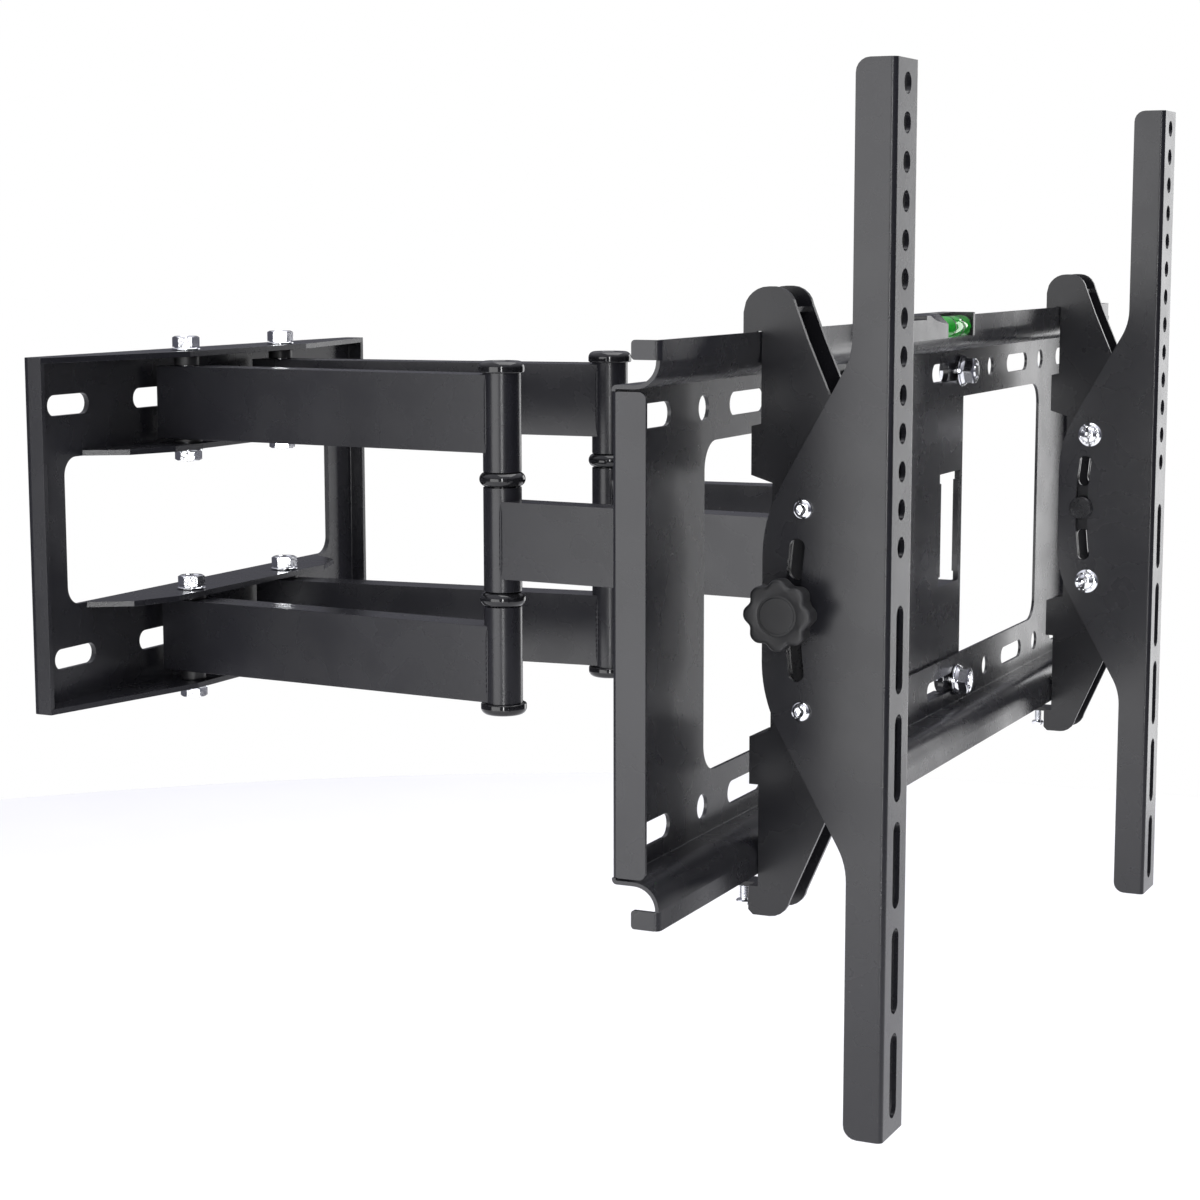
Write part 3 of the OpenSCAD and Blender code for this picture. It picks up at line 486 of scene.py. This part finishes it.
def stud_hardware(side, zinc, nylon):
    body = "hook_bracket_" + side
    stud, washer = "knob_stud_" + side, "knob_washer_" + side
    way = -1 if side == "left" else 1
    spot = middle(stud)
    head_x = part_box(stud)[0 if way > 0 else 1].x
    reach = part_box(stud)[1].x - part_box(stud)[0].x
    place = facing((head_x, spot.y, spot.z), (way, 0, 0))
    bm = bmesh.new()
    loft(bm, place, [
        ring(4 * MM, 0), ring(5.9 * MM, 0.3 * MM), ring(6.5 * MM, MM), ring(6.5 * MM, 2.2 * MM),
        ring(6.3 * MM, 2.4 * MM), ring(SCREW_D / 2, 2.4 * MM), ring(SCREW_D / 2, reach),
    ], 64)
    finish_mesh("stud_" + side, bm, zinc, body, [stud])
    low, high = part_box(washer)
    place = facing((low.x, spot.y, spot.z), (1, 0, 0))
    bm = bmesh.new()
    add_washer(bm, place, 0, high.x - low.x, (high.y - low.y) / 2, SCREW_D / 2)
    finish_mesh("stud_washer_" + side, bm, nylon, body, [washer])


# ---------- spirit level ----------

def vial_pieces(glass, liquid, bubble, lines):
    """An acrylic tube with green liquid, a long bubble under its top and two ring lines."""
    low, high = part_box("level_vial")
    length = high.x - low.x
    radius = (high.z - low.z) / 2
    spot = middle("level_vial")
    place = facing((low.x, spot.y, spot.z), (1, 0, 0))
    wall, end = 0.9 * MM, 0.8 * MM
    bm = bmesh.new()
    loft(bm, place, [
        ring(radius - end, 0), ring(radius - 0.3 * end, 0.3 * end), ring(radius, end),
        ring(radius, length - end), ring(radius - 0.3 * end, length - 0.3 * end), ring(radius - end, length),
    ], 96)
    finish_mesh("vial_tube", bm, glass, "tv_plate", ["level_vial"])

    bm = bmesh.new()
    inner = radius - wall
    loft(bm, place, [
        ring(inner - 0.6 * MM, 2 * MM), ring(inner, 2.6 * MM), ring(inner, length - 2.6 * MM),
        ring(inner - 0.6 * MM, length - 2 * MM),
    ], 96)
    finish_mesh("vial_liquid", bm, liquid, "tv_plate", ["level_vial"])

    bm = bmesh.new()
    half_l, half_w, steps = 5 * MM, 2.4 * MM, 16
    centre = place @ Matrix.Translation((0, 0, length / 2))
    up = centre.inverted().to_3x3() @ Vector((0, 0, inner - 0.7 * half_w))
    centre = centre @ Matrix.Translation(up)
    loft(bm, centre, [
        ring(half_w * math.sin(t), -half_l * math.cos(t))
        for t in (TURN / 2 * (step + 0.5) / steps for step in range(steps))
    ], 32)
    finish_mesh("vial_bubble", bm, bubble, "tv_plate", ["level_vial"])

    bm = bmesh.new()
    for at in (length / 2 - 6.5 * MM, length / 2 + 6.5 * MM):
        closed_loft(bm, place, [
            ring(radius - 0.3 * MM, at - 0.4 * MM), ring(radius + 0.02 * MM, at - 0.4 * MM),
            ring(radius + 0.02 * MM, at + 0.4 * MM), ring(radius - 0.3 * MM, at + 0.4 * MM),
        ], 96)
    finish_mesh("vial_lines", bm, lines, "tv_plate", ["level_vial"])


# ---------- welds ----------

def weld_pieces(side, coat):
    """Weld beads along both upright edges where a tube meets its barrel."""
    hinge = Vector(JOINTS["knuckle_" + side]["pos_m"])
    wall = Vector(JOINTS["fold_" + side]["pos_m"])
    along = (wall - hinge).normalized()
    across = along.cross(Vector((0, 0, 1)))
    tubes = (
        ("wall_arm_upper_" + side, "wall_arm_" + side, along),
        ("wall_arm_lower_" + side, "wall_arm_" + side, along),
        ("front_arm_" + side, "front_arm_" + side, -along),
    )
    barrel_r, half_w, tube_h, tube_level = 10 * MM, 9 * MM, 40 * MM, 65 * MM
    sink = 0.25 * MM
    reach = math.sqrt(barrel_r ** 2 - half_w ** 2)
    for node, body, way in tubes:
        low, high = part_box(node)
        level = (low.z + high.z) / 2
        if node.startswith("wall_arm"):
            level = math.copysign(tube_level, level)
        bm = bmesh.new()
        for flank in (-1, 1):
            foot = Vector((hinge.x, hinge.y, level)) + way * reach + across * flank * (half_w - sink)
            add_bead(bm, foot, tube_h * 0.96, flank)
        finish_mesh("weld_" + node, bm, coat, body, [])


def add_bead(bm, foot, length, phase):
    """A slim upright bead with gentle ripples."""
    steps, around = 60, 10
    base, ripple = 0.95 * MM, 0.12 * MM

    def at_height(part):
        height = (part - 0.5) * length
        taper = min(1, 6 * part, 6 * (1 - part)) ** 0.5
        radius = (base + ripple * math.sin(TURN * 13 * part + phase)) * max(taper, 0.15)
        return ring(radius, height)
    loft(bm, Matrix.Translation(foot), [at_height(step / steps) for step in range(steps + 1)], around)


# ---------- materials ----------

def principled(name, color, roughness, metallic=0.0, **sockets):
    material = bpy.data.materials.new(name)
    material.use_nodes = True
    shader = material.node_tree.nodes["Principled BSDF"]
    shader.inputs["Base Color"].default_value = (*color, 1)
    shader.inputs["Roughness"].default_value = roughness
    shader.inputs["Metallic"].default_value = metallic
    for socket, value in sockets.items():
        shader.inputs[socket.replace("_", " ")].default_value = value
    return material, shader


def add_noise(tree, scale, detail=3.0, stretch=(1, 1, 1)):
    """Noise in the object's own coordinates; scale is in features per metre."""
    coords = tree.nodes.new("ShaderNodeTexCoord")
    mapping = tree.nodes.new("ShaderNodeMapping")
    mapping.inputs["Scale"].default_value = stretch
    noise = tree.nodes.new("ShaderNodeTexNoise")
    noise.inputs["Scale"].default_value = scale
    noise.inputs["Detail"].default_value = detail
    tree.links.new(coords.outputs["Object"], mapping.inputs["Vector"])
    tree.links.new(mapping.outputs["Vector"], noise.inputs["Vector"])
    return noise.outputs["Fac"]


def spread(tree, source, low, high):
    """Maps a noise's middle band onto low to high."""
    span = tree.nodes.new("ShaderNodeMapRange")
    span.inputs["From Min"].default_value = 0.3
    span.inputs["From Max"].default_value = 0.7
    span.inputs["To Min"].default_value = low
    span.inputs["To Max"].default_value = high
    tree.links.new(source, span.inputs["Value"])
    return span.outputs["Result"]


def tint(tree, source, dark, light):
    ramp = tree.nodes.new("ShaderNodeValToRGB")
    ramp.color_ramp.elements[0].position = 0.3
    ramp.color_ramp.elements[1].position = 0.7
    ramp.color_ramp.elements[0].color = (*dark, 1)
    ramp.color_ramp.elements[1].color = (*light, 1)
    tree.links.new(source, ramp.inputs["Fac"])
    return ramp.outputs["Color"]


def bump(tree, shader, source, distance, strength=1.0, under=None):
    node = tree.nodes.new("ShaderNodeBump")
    node.inputs["Distance"].default_value = distance
    node.inputs["Strength"].default_value = strength
    tree.links.new(source, node.inputs["Height"])
    if under:
        tree.links.new(under, node.inputs["Normal"])
    tree.links.new(node.outputs["Normal"], shader.inputs["Normal"])
    return node.outputs["Normal"]


def powder_coat(name, shade, gloss, rough=0.27):
    """Satin black powder coat: fine orange peel over slow changes in sheen."""
    cool = tuple(shade * tone for tone in (0.94, 0.94, 1.16))
    material, shader = principled(name, cool, rough, IOR=1.5, Specular_IOR_Level=gloss)
    tree = material.node_tree
    dark, light = (tuple(part * tone for tone in cool) for part in (0.85, 1.2))
    tree.links.new(tint(tree, add_noise(tree, 14), dark, light), shader.inputs["Base Color"])
    sheen = spread(tree, add_noise(tree, 45, 4), rough - 0.03, rough + 0.03)
    tree.links.new(sheen, shader.inputs["Roughness"])
    peel = bump(tree, shader, add_noise(tree, 420, 2), 0.00004, 0.4)
    bump(tree, shader, add_noise(tree, 2400, 2), 0.000012, 0.5, peel)
    return material


def bright_zinc():
    """Polished plating with faint scratches and a slow change in gloss."""
    material, shader = principled("bright_zinc", (0.86, 0.87, 0.9), 0.12, 1.0)
    tree = material.node_tree
    tree.links.new(tint(tree, add_noise(tree, 160), (0.78, 0.79, 0.83), (0.92, 0.93, 0.95)),
                   shader.inputs["Base Color"])
    tree.links.new(spread(tree, add_noise(tree, 700, 4), 0.08, 0.2), shader.inputs["Roughness"])
    bump(tree, shader, add_noise(tree, 900, 3, (1, 1, 9)), 0.00001, 0.4)
    return material


def black_zinc():
    material, shader = principled("black_zinc", (0.02, 0.02, 0.022), 0.3, 0.5)
    tree = material.node_tree
    tree.links.new(spread(tree, add_noise(tree, 600, 4), 0.22, 0.38), shader.inputs["Roughness"])
    bump(tree, shader, add_noise(tree, 1500, 2), 0.00001, 0.4)
    return material


def moulded(name, color, rough, grain_scale, grain, gloss=1.5):
    """Moulded plastic: a fine grain, with a slow change in roughness."""
    material, shader = principled(name, color, rough, IOR=gloss)
    tree = material.node_tree
    dark = tuple(0.8 * c for c in color)
    light = tuple(1.25 * c for c in color)
    tree.links.new(tint(tree, add_noise(tree, 60), dark, light), shader.inputs["Base Color"])
    sheen = spread(tree, add_noise(tree, 90, 3), 0.85 * rough, 1.15 * rough)
    tree.links.new(sheen, shader.inputs["Roughness"])
    bump(tree, shader, add_noise(tree, grain_scale, 2), grain, 0.6)
    return material


def clear_material(name, color, rough, clear, ior):
    """Clear plastic, liquid or air, with a faint waviness."""
    material, shader = principled(name, color, rough, IOR=ior, Transmission_Weight=clear)
    tree = material.node_tree
    light = tuple(min(1, 1.1 * c) for c in color)
    tree.links.new(tint(tree, add_noise(tree, 200), color, light), shader.inputs["Base Color"])
    bump(tree, shader, add_noise(tree, 300, 1), 0.00002, 0.3)
    return material


def coat_cad(materials, painted_shade_coats):
    """Gives each CAD node that stays its material, or a darker painted-shade copy of the coat where one is listed,
    and softened edges.
    """
    slots = {part["node"]: part["material_slot"] for part in frame["record"]["subparts"]}
    for name, node in NODES.items():
        node.data.materials.clear()
        node.data.materials.append(painted_shade_coats.get(name, materials[slots[name]]))
        weld = node.modifiers.new("weld", "WELD")
        weld.merge_threshold = 1e-6
        flat = node.modifiers.new("flat", "DECIMATE")
        flat.decimate_type = "DISSOLVE"
        flat.angle_limit = math.radians(0.5)
        add_bevel(node, 0.35 * MM)


# ---------- stage ----------

def make_camera():
    """Stands where the object's own straight edges say the viewer stood."""
    data = bpy.data.cameras.new("camera")
    data.sensor_width = 36
    data.lens = 77.2
    data.shift_x = 0.0009
    data.shift_y = 0.008
    data.clip_start = 0.05
    data.clip_end = 50
    cam = bpy.data.objects.new("camera", data)
    yaw, pitch, roll = (math.radians(a) for a in (64.76, 8.05, -0.08))
    look = Vector((math.sin(yaw) * math.cos(pitch), math.cos(yaw) * math.cos(pitch), -math.sin(pitch)))
    turn = look.to_track_quat("-Z", "Y").to_matrix().to_4x4()
    spot = Matrix.Translation((-1.2439, -0.8392, 0.1504))
    cam.matrix_world = spot @ turn @ Matrix.Rotation(roll, 4, "Z")
    bpy.context.scene.collection.objects.link(cam)
    bpy.context.scene.camera = cam


def make_world():
    """A bright ceiling over a dimmer horizon; the backdrop itself is white."""
    world = bpy.data.worlds.new("studio")
    bpy.context.scene.world = world
    world.use_nodes = True
    tree = world.node_tree
    tree.nodes.clear()
    out = tree.nodes.new("ShaderNodeOutputWorld")
    room = tree.nodes.new("ShaderNodeBackground")
    backdrop = tree.nodes.new("ShaderNodeBackground")
    backdrop.inputs["Color"].default_value = (1, 1, 1, 1)
    coords = tree.nodes.new("ShaderNodeTexCoord")
    split = tree.nodes.new("ShaderNodeSeparateXYZ")
    ramp = tree.nodes.new("ShaderNodeValToRGB")
    ramp.color_ramp.interpolation = "EASE"
    ramp.color_ramp.elements[0].position = 0.05
    ramp.color_ramp.elements[0].color = (0.09, 0.09, 0.11, 1)
    ramp.color_ramp.elements[1].position = 0.8
    ramp.color_ramp.elements[1].color = (0.85, 0.85, 0.92, 1)
    path = tree.nodes.new("ShaderNodeLightPath")
    mix = tree.nodes.new("ShaderNodeMixShader")
    tree.links.new(coords.outputs["Generated"], split.inputs["Vector"])
    tree.links.new(split.outputs["Z"], ramp.inputs["Fac"])
    tree.links.new(ramp.outputs["Color"], room.inputs["Color"])
    tree.links.new(path.outputs["Is Camera Ray"], mix.inputs["Fac"])
    tree.links.new(room.outputs["Background"], mix.inputs[1])
    tree.links.new(backdrop.outputs["Background"], mix.inputs[2])
    tree.links.new(mix.outputs["Shader"], out.inputs["Surface"])


def soft_box(name, spot, target, width, height, watts):
    data = bpy.data.lights.new(name, "AREA")
    data.shape = "RECTANGLE"
    data.size = width
    data.size_y = height
    data.energy = watts
    light = bpy.data.objects.new(name, data)
    look = Vector(target) - Vector(spot)
    light.matrix_world = Matrix.Translation(spot) @ look.to_track_quat("-Z", "Y").to_matrix().to_4x4()
    bpy.context.scene.collection.objects.link(light)


def make_floor():
    """A pale round sheet well below the mount, with a turned-down rim."""
    low = CAD_BOX[0][2] - 0.25
    centre = Matrix.Translation((0, -0.25, low))
    bm = bmesh.new()
    loft(bm, centre, [
        ring(1.66, -0.03), ring(1.66, -0.02), ring(1.65, 0), ring(1.2, 0), ring(0.6, 0), ring(0.01, 0),
    ], 96)
    mesh = bpy.data.meshes.new("floor")
    bm.to_mesh(mesh)
    bm.free()
    floor = bpy.data.objects.new("floor", mesh)
    bpy.context.scene.collection.objects.link(floor)
    material, shader = principled("pale_floor", (0.9, 0.9, 0.9), 0.7)
    tree = material.node_tree
    shade = tint(tree, add_noise(tree, 3), (0.9, 0.9, 0.9), (0.93, 0.93, 0.93))
    tree.links.new(shade, shader.inputs["Base Color"])
    floor.data.materials.append(material)


def make_stage():
    make_camera()
    make_world()
    make_floor()
    soft_box("left_box", (-1.95, 0.25, -0.1), (-0.1, -0.3, 0), 1.6, 1.6, 27)
    soft_box("strip", (-1.85, -1.08, 0.15), (-0.07, -0.23, 0), 0.12, 1.8, 16)
    soft_box("front_box", (2.84, -0.95, 0), (0, -0.42, 0), 1.2, 1.8, 17)
    soft_box("top_box", (0.2, -0.6, 2.2), (0, -0.3, 0), 2.4, 2.0, 45)
    bpy.context.scene.view_settings.view_transform = "Standard"


def build():
    coat = powder_coat("powder_coat", 0.012, 0.45)
    # painted shade: a darker, less glossy copy of the same black powder coat, used only to darken the hook
    # brackets
    shaded_copy_coat = powder_coat("painted_shade_coat", 0.008, 0.3)
    steel = bright_zinc()
    gloss = moulded("gloss_nylon", (0.008, 0.008, 0.009), 0.1, 500, 0.00001)
    nylon = moulded("black_nylon", (0.012, 0.012, 0.013), 0.4, 900, 0.00002)
    dark_zinc = black_zinc()
    knob = moulded("knob_plastic", (0.013, 0.013, 0.014), 0.5, 1400, 0.00005)
    level = moulded("level_plastic", (0.008, 0.008, 0.009), 0.22, 600, 0.00001)
    glass = clear_material("vial_glass", (0.8, 1, 0.75), 0.02, 1.0, 1.49)
    liquid = clear_material("vial_liquid", (0.02, 0.72, 0.05), 0.05, 0.35, 1.33)
    bubble = clear_material("vial_bubble", (0.75, 1, 0.6), 0.03, 0.5, 1.1)
    # the hook brackets take the painted-shade copy of the coat instead of the plain black coat
    coat_cad({
        "black_coat": coat, "bright_zinc": steel, "gloss_nylon": gloss, "black_nylon": nylon,
        "black_zinc": dark_zinc, "knob_plastic": knob, "level_plastic": level, "vial": glass,
    }, {"hook_bracket_left": shaded_copy_coat, "hook_bracket_right": shaded_copy_coat})
    for side in SIDES:
        wall_pivot_hardware(side, steel)
        tv_pivot_hardware(side, steel)
        tilt_hardware(side, steel)
        lock_hardware(side, steel)
        knuckle_hardware(side, gloss)
        knob_piece(side, knob)
        stud_hardware(side, dark_zinc, nylon)
        weld_pieces(side, coat)
    bracket_hardware(steel)
    vial_pieces(glass, liquid, bubble, level)


build()
make_stage()
